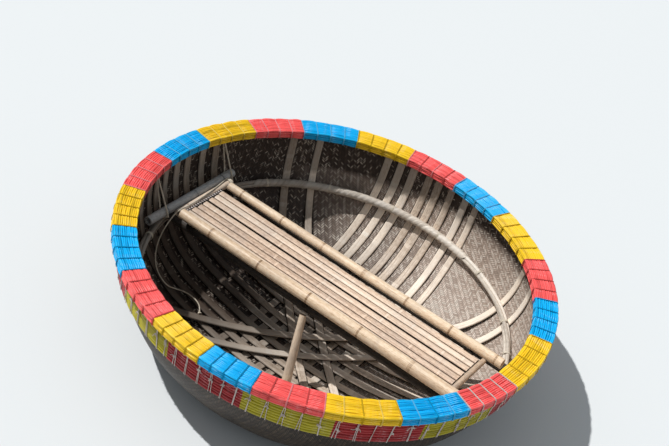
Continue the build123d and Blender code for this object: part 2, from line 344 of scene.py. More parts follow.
stopper_path = np.array(cord_route[-1]) + np.stack([
    stopper_size * (np.sin(stopper_turns) + 0.5 * np.sin(2 * stopper_turns)),
    stopper_size * (np.cos(stopper_turns) - np.cos(2 * stopper_turns)),
    0.0030 * np.sin(3 * stopper_turns),
], 1)
stopper.strand(stopper_path, knotted_radius, 8)
cord_knot = stopper.piece("loose_line_knot", [pale_cord], "sling_rope")
hitch_radius = 0.0212
hitch_turns = np.linspace(0, 6 * math.pi, 96)
hitch = Gathered()
hitch_path = np.stack([
    -0.802 + hitch_radius * np.cos(hitch_turns + 2.4),
    0.212 + 0.0062 * hitch_turns / (2 * math.pi),
    0.346 + hitch_radius * np.sin(hitch_turns + 2.4),
], 1)
hitch_path[-1] = cord_route[0]
hitch.strand(hitch_path, knotted_radius, 8)
cord_hitch = hitch.piece("loose_line_hitch", [pale_cord], "sling_rope")


# The basket is woven flat from narrow split-bamboo strips in a twill, then pressed into a hoop. It is
# grey-brown and worn inside, and outside it is sealed with dark resin and dung.
rim_top = 0.560
rim_underside = 0.515
hull_radius = 0.980
hull_depth = 0.650
hull_wall = 0.012
hull_top = 0.539
hull_lean = math.radians(5)
side_height = 0.160
bottom_radius = 2.150
strip_width = 0.0095


def bowl_profile(inset=0.0, depth=hull_depth, radius=hull_radius, step=0.004):
    """Return the bowl's half outline as rows of radius, height and length from the middle."""
    outward = np.array([math.cos(hull_lean), -math.sin(hull_lean)])
    lip = np.array([radius, rim_top])
    side_end = lip - np.array([math.tan(hull_lean), 1]) * side_height
    bottom_centre = np.array([0, rim_top - depth + bottom_radius])
    reach = side_end - bottom_centre
    bilge_radius = (bottom_radius ** 2 - reach @ reach) / (bottom_radius - outward @ reach) / 2
    bilge_centre = side_end - outward * bilge_radius
    meet = math.atan2(bilge_centre[0], bottom_centre[1] - bilge_centre[1])
    end_turn = math.pi / 2 - hull_lean
    rows = []
    for centre, arc, start, end, first in (
        (bottom_centre, bottom_radius, 0, meet, 0), (bilge_centre, bilge_radius, meet, end_turn, 1),
    ):
        for turn in np.linspace(start, end, int(arc * (end - start) / step))[first:]:
            rows.append(centre + np.array([math.sin(turn), -math.cos(turn)]) * (arc - inset))
    top = lip - outward * inset
    rows += [rows[-1] + (top - rows[-1]) * part for part in np.linspace(0, 1, int(side_height / step))[1:]]
    rows = np.array(rows)
    return rows[:, 0], rows[:, 1], distances(rows)


def around(turns, radius=1.0, height=0.0):
    """Return points round the boat, each at a turn, a radius and a height."""
    return np.stack(np.broadcast_arrays(radius * np.cos(turns), radius * np.sin(turns), height), -1)


def ring_faces(start, rings):
    """Return the faces between rings of points, one inside the other."""
    faces = []
    for ring in range(rings - 1):
        for number in range(ring_points):
            a, b = (start + ring * ring_points + beside % ring_points for beside in (number, number + 1))
            faces.append((a, b, b + ring_points, a + ring_points))
    return faces


def woven(name, strips, gap_shade, roughness, soils_and_shades=(), fleck=None):
    """Return a finish of strips in a twill, over three and under three, with texture places in metres."""
    weave = Finish(name, roughness, 0.25)
    along, over, depth = weave.split(weave.place(1 / strip_width, 1 / strip_width))
    column, row = weave.math("FLOOR", along), weave.math("FLOOR", over)
    phase = weave.math("FLOORED_MODULO", column + row, 6.0)
    lengthwise = weave.math("LESS_THAN", phase, 2.5)
    crosswise = 1.0 - lengthwise
    column_part, row_part = weave.math("FRACT", along), weave.math("FRACT", over)

    def raised(part_across, part_along):
        """Return how high a strip stands where it runs over three others."""
        crown = 1.0 - weave.math("ABSOLUTE", part_across * 2.0 - 1.0) ** 2.2
        return crown * weave.math("MAXIMUM", weave.math("SINE", part_along * math.pi), 0.0) ** 0.45

    height = lengthwise * raised(row_part, (phase + column_part) / 3.0)
    height = height + crosswise * raised(column_part, (phase - 3.0 + row_part) / 3.0)
    strip = lengthwise * row + crosswise * (column + 517.0)
    strip_place = weave.node("CombineXYZ", {0: strip, 1: weave.math("FLOOR", (column + row) / 6.0)})
    chance = weave.node("TexWhiteNoise", {"Vector": strip_place}, "Value", noise_dimensions="2D")
    patch = weave.noise(5.0, 5)
    colour = weave.ramp(chance * 0.46 + patch * 0.50 + crosswise * 0.08, *strips)
    # Low places between the strips take the gap colour: painted shade between the strips.
    colour = weave.mix(weave.grey(height, 0.18, 0.92), gap_shade, colour)
    # The masks darken the weave with mud and painted shade.
    clean = 1.0
    for soil_and_shade in soils_and_shades:
        clean = weave.math("MINIMUM", clean, weave.clean(*soil_and_shade))
    colour = weave.soiled_and_shaded(colour, clean, (0.10, 0.086, 0.080))
    if fleck:
        bare = weave.grey(chance + (patch - 0.5) * 0.9, 0.56, 1.05) * weave.grey(height, 0.45, 0.85)
        colour = weave.mix(bare, colour, fleck)
    weave.put("Base Color", colour)
    weave.bump(height, 0.0012, 0.9)
    return weave.material


# The inside weave is darker towards the left, the front and the floor, partly mud and partly painted shade.
# A band of painted shade darkens it under the rim, reaching lower towards the left.
painted_rim_shade = (7.25, 1.66, 0.0, -18.0)
inside_weave = woven(
    "woven_inside", (
        (0.22, (0.31, 0.235, 0.185)), (0.42, (0.50, 0.39, 0.32)), (0.58, (0.70, 0.58, 0.49)),
        (0.74, (1.0, 0.88, 0.77)),
    ), (0.25, 0.195, 0.155), 0.5, ((0.35, 1.2, 0.5, 0.8), painted_rim_shade), (0.46, 0.40, 0.33),
)
outside_weave = woven("resin_outside", (
    (0.2, (0.030, 0.022, 0.016)), (0.55, (0.070, 0.050, 0.034)), (0.9, (0.14, 0.10, 0.065)),
), (0.012, 0.009, 0.007), 0.45)
ring_points = 240
hull_turns = np.arange(ring_points) * 2 * math.pi / ring_points
hull_places = []
top_rings = []
basket = Gathered()
for hull_side, hull_inset in enumerate((0.0, -hull_wall)):
    start = len(hull_places)
    profile = bowl_profile(hull_inset, step=0.02)
    below = profile[1] < hull_top
    rows = [np.append(values[below], np.interp(hull_top, profile[1], values)) for values in profile]
    rows[1] = np.maximum(rows[1], cad_low[2])
    for radius, height, length in list(zip(*rows))[1:]:
        dent = 0.0016 * np.sin(7 * hull_turns + 9 * length) * math.sin(5 * length + 1.3)
        dent += 0.0012 * np.sin(17 * hull_turns - 4 * length)
        dent *= min(1.0, 3 * length) * min(1.0, 12 * (hull_top - height))
        basket.points.append(around(hull_turns, radius + dent, height))
        hull_places += around(hull_turns, length)[:, :2].tolist()
    top_rings.append(len(hull_places) - ring_points)
    middle = len(hull_places)
    basket.points.append([(0, 0, rows[1][0])])
    hull_places.append((0, 0))
    faces = ring_faces(start, len(rows[0]) - 1)
    faces += [(middle, start + number, start + (number + 1) % ring_points) for number in range(ring_points)]
    basket.faces += [face[::-1] for face in faces] if hull_side else faces
    basket.finishes += [hull_side] * len(faces)
for number in range(ring_points):
    beside = (number + 1) % ring_points
    (a, b), (d, c) = ((top + number, top + beside) for top in top_rings)
    basket.faces.append((a, b, c, d))
    basket.finishes.append(0)
basket.places = [hull_places[corner] for face in basket.faces for corner in face]
basket.tones = [0.5] * len(basket.faces)
basket.piece("woven_basket", [inside_weave, outside_weave], "woven_bamboo", ["hull_basket"], 50)


# The ribs are long strips of split bamboo, bent into the bowl in layers that cross. Each is a little
# crowned on its outside, has a low ridge at each node, and is cut off under the rim. A thin near-black
# strip along each edge is packed mud and painted shadow.
def shaded(colour, share, added=0.0):
    """Return a colour made darker, or paler by an even part."""
    return tuple(min(1.0, share * part + added) for part in colour)


def bamboo(
    name, deep, middle, pale, roughness=0.5, specular=0.35, dirt=0.5, grain=0.0004, soil_and_shade=None, rim_shade=None,
):
    """Return a bamboo finish, with fine lines along it and worn, greyed patches."""
    wood = Finish(name, roughness, specular)
    fine = wood.grain(3.0, 420, 4)
    patches = wood.noise(9.0, 5, 0.6)
    share = fine * 0.42 + wood.grain(1.6, 60, 3, 0.4) * 0.40 + wood.tone() * 0.30
    share = share + (wood.grain(45, 190, 3, 0.6) - 0.5) * 0.45
    colour = wood.ramp(share, (0.30, deep), (0.54, middle), (0.80, pale))
    colour = wood.mix(wood.grey(patches, 0.48, 0.72) * dirt, colour, shaded(deep, 0.55, 0.15 * sum(middle)))
    colour = wood.mix(wood.grey(wood.grain(2.2, 300, 2), 0.31, 0.25) * 0.7, colour, shaded(deep, 0.35))
    # Mud and painted shade darken it along the soil gradient. A rim shade adds painted shade under the rim,
    # with its mask kept at 0.38 or more.
    if soil_and_shade:
        clean = wood.clean(*soil_and_shade)
        if rim_shade:
            clean = wood.math("MINIMUM", clean, wood.math("MAXIMUM", wood.clean(*rim_shade), 0.38))
        colour = wood.soiled_and_shaded(colour, clean, (0.10, 0.088, 0.082))
    wood.put("Base Color", colour)
    if roughness > 0.5:
        wood.put("Roughness", wood.grey(patches, -0.6, 1.6))
    else:
        wood.put("Roughness", patches * 0.35 + (roughness - 0.15))
    wood.bump(fine, grain)
    return wood.material


def resampled(line, stations):
    """Return the points of a line at the given distances along it."""
    run = distances(line)
    return np.stack([np.interp(stations, run, line[:, axis]) for axis in range(3)], 1)


def near(distance, reach):
    """Return 1 at a place, and almost 0 two reaches away from it."""
    return np.exp(-(distance / reach) ** 2)


def from_node(stations, node_run, shift):
    """Return how far each place along a bamboo lies from its nearest node."""
    past_node = (stations + shift) % node_run
    return np.minimum(past_node, node_run - past_node)


rib_width = 0.036
rib_thickness = 0.009
rib_layer_step = 0.0099
seat_gap = 0.0003
rib_layers = (
    ("rib_across", -90.0, (-0.320, -0.250, -0.180, -0.090, -0.030, 0.050, 0.140, 0.210)),
    ("rib_along", 0.0, (-0.330, -0.245, -0.180, -0.099, -0.011, 0.068, 0.168, 0.251)),
    ("rib_slant_left", -45.0, (-0.070, 0.070)),
    ("rib_slant_right", 45.0, (-0.060, 0.078)),
)
rib_section = np.array([
    (-0.5, 0.0), (0.5, 0.0), (0.5, 0.60), (0.455, 0.86), (0.36, 0.97), (0.18, 1.0), (0.0, 1.0),
    (-0.18, 1.0), (-0.36, 0.97), (-0.455, 0.86), (-0.5, 0.60),
])
mud_shadow_section = np.array([(-1, 0), (1, 0), (1, 1), (-1, 1)])
mud_shadow_thickness = 0.0012
# The ribs are darker towards the left, the front and the floor, partly mud and partly painted shade.
# Painted shade under the rim darkens them less than it darkens the weave.
rib_bamboo = bamboo(
    "rib_split_bamboo", (0.44, 0.33, 0.24), (0.86, 0.72, 0.58), (1.0, 0.92, 0.80),
    dirt=0.3, soil_and_shade=(0.75, 1.4, 0.2, 2.6), rim_shade=painted_rim_shade,
)
mud_and_painted_shade = Finish("mud_and_painted_shade", 0.9, 0.1)
mud_and_painted_shade.put("Base Color", (0.020, 0.016, 0.013))
draw = random.Random(41)
for layer, (rib_name, rib_direction, rib_places) in enumerate(rib_layers):
    nest_depth = hull_depth - seat_gap - layer * rib_layer_step
    nest_r, nest_z = bowl_profile(0.0, nest_depth, hull_radius - seat_gap)[:2]
    nest_slope = unit(np.stack([np.gradient(nest_r), np.gradient(nest_z)], 1))
    rib_turn = math.radians(rib_direction)
    turned = np.array([around(rib_turn), around(rib_turn + math.pi / 2), (0, 0, 1)])
    for number, place in enumerate(rib_places, start=1):
        seen = (nest_r > abs(place) + 1e-4) & (nest_z < rim_underside - 0.001)
        half_x = np.sqrt(nest_r[seen] ** 2 - place ** 2)
        half = np.stack([half_x, np.full_like(half_x, place), nest_z[seen]], 1)
        low_z = np.interp(abs(place), nest_r, nest_z)
        line = np.concatenate([half[::-1] * (-1, 1, 1), [(0, place, low_z)], half])
        length = distances(line)[-1]
        stations = np.linspace(0, length, int(length / 0.022))
        line = resampled(line, stations)
        reach = np.hypot(line[:, 0], line[:, 1])
        lean_r, lean_z = (np.interp(reach, nest_r, slope) for slope in nest_slope.T)
        inward = np.stack([-lean_z * line[:, 0] / reach, -lean_z * line[:, 1] / reach, lean_r], 1)
        across = unit(np.cross(np.gradient(line, axis=0), inward))
        line, across, inward = line @ turned, across @ turned, inward @ turned
        wide = rib_width * draw.uniform(1.00, 1.14)
        wide = wide * (1 + 0.03 * np.sin(stations * 2.1 + draw.uniform(0, 6)))
        node_run = draw.uniform(0.24, 0.34)
        ridge = near(from_node(stations, node_run, draw.uniform(0, node_run)), 0.009)
        swollen = np.stack([wide * (1 + 0.05 * ridge), rib_thickness * (0.94 + 0.14 * ridge)], 1)
        rib = Gathered()
        shade = np.clip(draw.uniform(0.1, 0.9) + 0.35 * ridge - 0.1, 0, 1)
        rib.sweep(line, across, inward, rib_section * swollen[:, None], shade)
        # A near-black strip on both edges of the rib is packed mud and painted shadow.
        mud_shadow_wide = wide / 2 + 0.0034 + 0.0014 * np.sin(stations * 37 + draw.uniform(0, 6))
        mud_shadow_size = np.stack([mud_shadow_wide, np.full_like(wide, mud_shadow_thickness)], 1)
        rib.sweep(line, across, inward, mud_shadow_section * mud_shadow_size[:, None], 0.5, finish=1)
        finishes = [rib_bamboo, mud_and_painted_shade.material]
        rib.piece(f"split_{rib_name}_{number}", finishes, "rib_bamboo", [f"{rib_name}_{number}"])


# The inner hoop holds the ribs against the basket. It is three split canes laid round the bowl with a
# slow twist, bound with thin cord at every few ribs, and wrapped with wider cane along the back.
hoop_z = 0.260
hoop_thickness = 0.036
hoop_low, hoop_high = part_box("inner_hoop")
hoop_radius = (hoop_high.x - hoop_low.x) / 2 - hoop_thickness / 2


def round_hoop(turns, away, twist):
    """Return a line that winds round the hoop's middle line."""
    return around(turns, hoop_radius + away * np.cos(twist), hoop_z + away * np.sin(twist))


hoop_turns = np.linspace(0, 2 * math.pi, 361)[:-1]
hoop = Gathered()
for strand in range(3):
    away = 0.0092 + 0.0008 * np.sin(9 * hoop_turns + strand)
    strand_path = round_hoop(hoop_turns, away, strand * 2 * math.pi / 3 + 3 * hoop_turns)
    section = circle(0.0104, 10)
    hoop.sweep(strand_path, around(hoop_turns), (0, 0, 1), section, 0.2 + 0.3 * strand, round_again=True)
wrap_away = 0.0190
wrap_section = [(-0.0125, -0.0016), (0.0125, -0.0016), (0.0045, 0.0018), (-0.0045, 0.0018)]
wrap_rounds = 13
wrap_coils = np.linspace(0, 2 * math.pi * wrap_rounds, wrap_rounds * 24)
for strand in range(3):
    wrap_turn = math.radians(70) + math.radians(80) * wrap_coils / wrap_coils[-1] + strand * 0.0358
    wrap_path = round_hoop(wrap_turn, wrap_away, wrap_coils)
    wrap_up = (wrap_path - round_hoop(wrap_turn, 0.0, wrap_coils)) / wrap_away
    wrap_across = unit(np.cross(np.gradient(wrap_path, axis=0), wrap_up))
    hoop.sweep(wrap_path, wrap_across, wrap_up, wrap_section, 0.3 + 0.2 * strand)
bindings = 18
for binding in range(bindings):
    middle_turn = (binding + 0.35 * draw.random()) * 2 * math.pi / bindings
    coils = np.linspace(0, 5 * 2 * math.pi, 90)
    coil_turn = middle_turn + (coils / (2 * math.pi) - 2.5) * 0.0026 / hoop_radius
    hoop.strand(round_hoop(coil_turn, 0.0198, coils), 0.0014, 6, 0.5, 1)
# The hoop's cane is darker towards the left and lower down.
hoop_cane = bamboo(
    "hoop_cane", (0.36, 0.31, 0.25), (0.70, 0.61, 0.51), (0.94, 0.87, 0.77),
    0.6, 0.3, 0.2, soil_and_shade=(0.75, 0.8, 0.0, 0.9),
)
hoop.piece("twisted_hoop", [hoop_cane, pale_cord], "weathered_bamboo", ["inner_hoop"], 60)


# The rim cap is a bundle of split rods over the basket's edge, pressed in where each cord binds it,
# and brushed with glossy paint in 21 sections: yellow, red and blue, going clockwise from above.
rim_inner = hull_radius - 0.045
rim_outer = hull_radius + 0.070
rim_width = rim_outer - rim_inner
top_rods = 12
side_rods = 4
lashings_in_section = 4
rod_sides = 8
rod_turn = 0.39
painted_spans = (
    ("yellow", (17, 20, 21, 18, 15, 17, 17)),
    ("red", (17, 17, 16, 17, 17, 18, 16)),
    ("blue", (17, 17, 18, 14, 17, 17, 17)),
)
paint_colours = {"yellow": (0.89, 0.57, 0.016), "red": (0.92, 0.118, 0.112), "blue": (0.0, 0.42, 0.82)}


def brushed_paint(name, colour, scuff_and_glint_share):
    """Return a gloss paint, streaked, dulled by sun, and paled in scratches that are partly wear to pale
    wood and partly painted highlight.
    """
    paint = Finish(name, 0.4, 0.26)
    streaks = paint.grain(9, 260, 4)
    clouds = paint.noise(11.0, 4)
    share = streaks * 0.5 + paint.tone() * 0.35 + clouds * 0.25
    bright = shaded(colour, 1.10, 0.006)
    body = paint.ramp(share, (0.26, shaded(colour, 0.50)), (0.48, colour), (0.80, bright))
    # The pale scratches along the rods are partly wear and partly painted highlight.
    worn = paint.grey(paint.grain(26, 420, 3, 0.3), 0.60, 0.66) * paint.grey(clouds, 0.44, 0.56)
    body = paint.mix(worn * scuff_and_glint_share, body, shaded(colour, 0.35, 0.60))
    chip = paint.grey(paint.grain(40, 260, 2, 0.5), 0.33, 0.27)
    paint.put("Base Color", paint.mix(chip * 0.8, body, shaded(colour, 0.22, 0.01)))
    paint.put("Roughness", clouds * 0.3 + 0.22)
    paint.bump(streaks, 0.0005)
    return paint.material


paints = {}
for colour, scuff_and_glint_share in (("yellow", 0.5), ("red", 0.75), ("blue", 0.8)):
    paints[colour] = brushed_paint(f"{colour}_paint", paint_colours[colour], scuff_and_glint_share)
cap_sections = []
lashing_turns = []
total_span = sum(sum(spans) for colour, spans in painted_spans)
turn_now = 120.0
for round_number in range(7):
    for colour, spans in painted_spans:
        span = spans[round_number] * 360 / total_span
        cap_sections.append((colour, turn_now - span, span))
        for part in range(lashings_in_section):
            lashing_turns.append((turn_now - span * part / lashings_in_section, colour))
        turn_now -= span
rod_middles = [rim_inner + rim_width * (number + 0.5) / top_rods for number in range(top_rods)]
rod_rows = [(middle, rim_top - 0.0052, 0, 1) for middle in rod_middles]
rod_rows[0] = (rim_inner + 0.0060, rim_top - 0.0064, -0.7, 0.7)
rod_rows[-1] = (rim_outer - 0.0060, rim_top - 0.0064, 0.7, 0.7)
for number in range(side_rods):
    height = rim_underside + 0.0058 + 0.0102 * number
    rod_rows += [(rim_inner + 0.0056, height, -1, 0), (rim_outer - 0.0056, height, 1, 0)]
cap_core = [
    (rim_inner + 0.0042, rim_underside + 0.001), (rim_inner + 0.0042, rim_top - 0.0062),
    (rim_outer - 0.0042, rim_top - 0.0062), (rim_outer - 0.0042, rim_underside + 0.001),
]
caps = {colour: Gathered() for colour in paints}
draw = random.Random(7)
for colour, start, span in cap_sections:
    part = np.linspace(0, 1, lashings_in_section * 6 + 1)
    turns = np.radians(start + span * part)
    out = around(turns)
    bulge = np.abs(np.sin(part * lashings_in_section * math.pi)) ** 0.55
    for rod_r, rod_z, push_r, push_z in rod_rows:
        ripple = 0.0007 * np.sin(part * 19 + draw.uniform(0, 6))
        swell = -0.0032 + 0.0036 * bulge + ripple - draw.uniform(0, 0.0014)
        wander = 0.0010 * np.sin(part * 11 + draw.uniform(0, 6)) + draw.uniform(-0.0008, 0.0008)
        heights = rod_z + push_z * swell + abs(push_r) * wander
        path = around(turns, rod_r + push_r * swell + push_z * wander, heights)
        thick = 0.0051 if push_z > 0.9 else 0.0054
        section = circle(thick * draw.uniform(0.88, 1.06), rod_sides, rod_turn)
        caps[colour].sweep(path, out, (0, 0, 1), section, draw.random())
    caps[colour].sweep(0 * out, out, (0, 0, 1), cap_core, 0.0, finish=1)
# The core that shows between the rods is a dark shade of the paint: painted shade between the rods.
rod_shadows = {}
for colour, cap in caps.items():
    between = Finish(f"between_{colour}_rods", 0.9, 0.1)
    dark, less_dark = shaded(paint_colours[colour], 0.32), shaded(paint_colours[colour], 0.85)
    between.put("Base Color", between.ramp(between.grain(30, 200), (0.36, dark), (0.58, less_dark)))
    rod_shadows[colour] = between.material
    finishes = [paints[colour], between.material]
    cap.piece(f"cap_rods_{colour}", finishes, f"paint_{colour}", [f"rim_{colour}"], 50)


# The band is nine split rods round the outside under the cap, painted in 16 sections, yellow and red
# in turn, and bound by the same cords.
def bowl_radius(height, inset):
    """Return the bowl's radius at a height."""
    radii, heights = bowl_profile(inset)[:2]
    return float(np.interp(height, heights, radii))


def bulging(degrees):
    """Return 0 at a lashing and 1 midway between two, for turns in degrees."""
    places = sorted(turn % 360 for turn, colour in lashing_turns)
    marks = np.array([places[-1] - 360] + places + [places[0] + 360])
    turns = np.mod(degrees, 360)
    after = np.searchsorted(marks, turns, side="right")
    part = (turns - marks[after - 1]) / (marks[after] - marks[after - 1])
    return np.abs(np.sin(part * math.pi)) ** 0.55


band_rods = 9
band_sections = 16
band_start = -122.0
band_depth = 0.145
band_bottom = rim_underside - band_depth + 0.003
band_top = rim_underside - 0.001
band_lean = math.tan(hull_lean) * band_depth
band_inner = bowl_radius(rim_underside, -hull_wall - seat_gap)
band_outer = band_inner + 0.028
band_core = [
    (band_inner + 0.0002 - band_lean, band_bottom), (band_inner + 0.012 - band_lean, band_bottom),
    (band_inner + 0.012, band_top), (band_inner + 0.0002, band_top),
]
bands = {"yellow": Gathered(), "red": Gathered()}
for number in range(band_sections):
    band = bands[("yellow", "red")[number % 2]]
    along = np.linspace(0, 360 / band_sections, 33)
    degrees = band_start + number * 360 / band_sections + along
    turns = np.radians(degrees)
    out = around(turns)
    bulge = bulging(degrees)
    for rod in range(band_rods):
        down = (rod + 0.5) / band_rods
        swell = -0.0024 + 0.0026 * bulge + 0.0007 * np.sin(along * 0.9 + draw.uniform(0, 6))
        wander = 0.0010 * np.sin(along * 0.5 + draw.uniform(0, 6))
        radii = band_outer - 0.0082 - band_lean * down + swell
        path = around(turns, radii, rim_underside - band_depth * down + wander)
        section = circle(0.0083 * draw.uniform(0.94, 1.03), rod_sides, rod_turn)
        band.sweep(path, out, (0, 0, 1), section, draw.random())
    band.sweep(0 * out, out, (0, 0, 1), band_core, 0.0, finish=1)
# The band's yellow and red are darker than the cap's, partly painted shade from the cap above. The yellow
# is also greener, partly a painted reflection of the water.
shaded_band_colours = {"yellow": ((0.42, 0.36, 0.015), 0.5), "red": ((0.36, 0.022, 0.024), 0.7)}
for colour, band in bands.items():
    finishes = [brushed_paint(f"band_{colour}_paint", *shaded_band_colours[colour]), rod_shadows[colour]]
    band.piece(f"band_rods_{colour}", finishes, f"paint_{colour}", [f"band_{colour}"], 50)


# Each lashing is two turns of thin cord, pulled tight round cap and band, and knotted low on the band.
# On the cap they are painted over with their section, thickly or thinly, and lower down they are bare.
def frames(path, up):
    """Return two directions at right angles to a path, the second as near up as can be."""
    ahead = unit(np.gradient(path, axis=0))
    across = unit(np.cross(ahead, up))
    return across, np.cross(across, ahead)


def curved(points, count):
    """Return points of a smooth line through the given ones, evenly spaced."""
    points = np.asarray(points, float)
    ends = np.concatenate([[2 * points[0] - points[1]], points, [2 * points[-1] - points[-2]]])
    dense = []
    for a, b, c, d in zip(ends, ends[1:], ends[2:], ends[3:]):
        for part in np.linspace(0, 1, 12, endpoint=False):
            bend = (2 * a - 5 * b + 4 * c - d) * part ** 2 + (3 * b - a - 3 * c + d) * part ** 3
            dense.append(0.5 * (2 * b + (c - a) * part + bend))
    dense = np.array(dense + [points[-1]])
    return resampled(dense, np.linspace(0, distances(dense)[-1], count))


def on_band(drop, away):
    """Return the radius and the height of a place on the band, so far below the cap."""
    return band_outer + away - band_lean * drop / band_depth, rim_underside - drop


over_cap = [
    (rim_inner + 0.0020, rim_underside - 0.0005), (rim_inner - 0.0004, rim_underside + 0.010),
    (rim_inner + 0.0002, rim_top - 0.018), (rim_inner + 0.0028, rim_top - 0.0058),
]
for rod, middle in enumerate(rod_middles[:-1]):
    if rod:
        over_cap.append((middle, rim_top - 0.0014))
    over_cap.append((middle + 0.0048, rim_top - 0.0032))
over_cap += [
    (rim_outer - 0.0030, rim_top - 0.0052), (rim_outer - 0.0002, rim_top - 0.018),
    (rim_outer + 0.0004, rim_underside + 0.010), (rim_outer - 0.0020, rim_underside - 0.0005),
]
over_band = [on_band(drop, 0.0010) for drop in (0.030, 0.070, 0.110, 0.143)]
bare_lashings = set(range(28, 33))
# These cords are paler than their paint, partly from a thin coat and partly as painted highlight.
thin_coat_highlit = set(range(64, 84)) | {4, 6, 8, 9, 10, 11, 33, 35, 37, 39, 40, 42}
bare = 2 * len(paints)
knot_turns = np.linspace(0, 2 * math.pi, 22)
knot_loop = np.stack([
    0.0052 * np.cos(knot_turns), 0.0040 * np.sin(knot_turns), 0.0018 + 0.0010 * np.sin(2 * knot_turns),
], 1)
lashing = Gathered()
knots = Gathered()
for number, (turn, colour) in enumerate(lashing_turns):
    finish = list(paints).index(colour) + (len(paints) if number in thin_coat_highlit else 0)
    finish = bare if number in bare_lashings else finish
    out = around(math.radians(turn))
    side = around(math.radians(turn) + math.pi / 2)
    for strand in (-1, 1):
        slant = draw.uniform(-0.012, 0.012)
        path = []
        for radius, height in over_cap + over_band:
            drift = strand * (0.0016 + slant * max(0.0, rim_underside - height) / band_depth)
            path.append(out * radius + side * drift + (0, 0, height))
        above, below = path[:len(over_cap)], path[len(over_cap) - 1:]
        coated = circle(0.0016 if finish < len(paints) else 0.0014, 6)
        lashing.sweep(above, side, frames(above, side)[0], coated, draw.random(), finish)
        lashing.sweep(below, side, frames(below, side)[0], circle(0.0017, 6), draw.random(), bare)
    if number % lashings_in_section != 1:
        radius, height = on_band(draw.uniform(0.045, 0.085), 0.0014)
        start = out * radius + (0, 0, height)
        for tail in range(4):
            reach = draw.uniform(0.010, 0.030)
            aside = side * draw.uniform(-1.0, 1.0) * reach
            middle = start + out * 0.0035 + aside * 0.5 + (0, 0, draw.uniform(-0.006, 0.004))
            end = start + out * 0.0015 + aside + (0, 0, -reach * draw.uniform(0.2, 0.9))
            knots.strand(curved([start, middle, end], 9), 0.0016, 5, draw.random())
        knots.strand(start + knot_loop @ np.array([side, (0, 0, 1), out]), 0.0021, 6, 0.6)
# Thick coats are a little darker than the paint, partly painted shade in the grooves. Thin coats are paler,
# partly painted highlight.
thick_shaded_coats = {colour: shaded(full, 0.82) for colour, full in paint_colours.items()}
thin_highlit_coats = {"yellow": (1.0, 0.74, 0.15), "red": (1.0, 0.34, 0.35), "blue": (0.14, 0.58, 0.92)}
cord_finishes = []
for coat, coats in (("thick", thick_shaded_coats), ("thin", thin_highlit_coats)):
    for colour, full in coats.items():
        cord_finishes.append(laid_rope(f"{coat}_{colour}_cord", full, shaded(full, 0.66), 220))
bleached_cord = laid_rope("bleached_cord", (0.86, 0.80, 0.76), (0.46, 0.38, 0.34), 220)
lashing.piece("rim_binding", cord_finishes + [bleached_cord], "lashing_cord", ["rim_lashings"], 80)
knots.piece("rim_binding_knots", [bleached_cord], "lashing_cord", [], 80)


# The two beams under the bench are rough poles of grey, weathered wood. They lie on the hoop and reach
# from side to side.
def pole(gathered, start, end, start_radius, end_radius, tone, rings, rough=0.02):
    """Add a round pole that is a little uneven, with greyed ends."""
    sides = 20
    end_grey = 1.2
    start, end = np.array([start, end])
    length = np.linalg.norm(end - start)
    part = np.linspace(0, 1, rings)
    path = start + np.outer(part, end - start)
    across, outward = frames(path, (0, 0, 1) if abs(end[2] - start[2]) < 0.8 * length else (0, 1, 0))
    turns = np.arange(sides) * 2 * math.pi / sides
    seed = draw.uniform(0, 6)
    along = part[:, None]
    lumps = 1 + rough * np.sin(3 * turns + 7 * along + seed) * np.sin(9 * along + seed)
    from_end = np.minimum(part, 1 - part) * length
    radii = (start_radius + (end_radius - start_radius) * part) * (1 - 0.06 * near(from_end, 0.003))
    section = circle(1 - 0.5 * rough, sides) * (lumps * radii[:, None])[:, :, None]
    gathered.sweep(path, across, outward, section, np.where(from_end < 0.001, tone - end_grey, tone))


beam_diameter = 0.050
beam_z = hoop_z + hoop_thickness / 2 + beam_diameter / 2
weathered = bamboo(
    "weathered_pole", (0.014, 0.012, 0.010), (0.038, 0.032, 0.027), (0.10, 0.087, 0.074),
    0.75, 0.12, 0.4, 0.0009,
)
for beam_name in ("bench_beam_front", "bench_beam_back"):
    low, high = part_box(beam_name)
    beam = Gathered()
    beam_y = (low.y + high.y) / 2
    pole(beam, (low.x, beam_y, beam_z), (high.x, beam_y, beam_z), 0.0245, 0.0250, 0.7, 60)
    beam.piece(f"pole_{beam_name}", [weathered], "grey_wood", [beam_name], 50)


# Three thinner sticks lie across the beams, and the bench's slats and culms are tied down to them.
bearer_z = 0.343
bearers = Gathered()
low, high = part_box("bench_bearers")
for bearer_x in (-0.700, 0.0, 0.710):
    bearer_ends = (bearer_x, low.y + 0.022, bearer_z), (bearer_x, high.y, bearer_z)
    pole(bearers, *bearer_ends, 0.0150, 0.0148, draw.random(), 18)
bearers.piece("bench_bearer_sticks", [weathered], "grey_wood", ["bench_bearers"], 50)


# The slats are halved bamboo culms, round side up, worn pale and smooth on top, each with its own nodes,
# and laid side by side, with one wider gap after the fourth. Their sides are dark with dirt and painted
# shade, and the front side at the wide gap is painted near-black shade.
slat_width = 0.038
slat_thickness = 0.018
slat_bottom = 0.358
slat_gaps = (0.0025, 0.0025, 0.0025, 0.0080, 0.0025, 0.0025, 0.0025)
slat_shifts = (0.0, 0.0, 0.0, -0.0010, 0.0006, 0.0, 0.0)
slat_widths = (
    (0.985, 0.965), (0.975, 0.940), (0.960, 0.985), (0.950, 0.965), (0.940, 0.960), (0.980, 0.960),
    (0.965, 0.940),
)
slat_low, slat_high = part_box("bench_slats")
slat_arch = np.linspace(math.pi, 0, 11)
slat_top = np.stack([0.5 * np.cos(slat_arch), 0.30 + 0.70 * np.sin(slat_arch) ** 0.62], 1)
slat_section = np.concatenate([slat_top, [(0.5, 0.05), (0.46, 0.0), (-0.46, 0.0), (-0.5, 0.05)]])
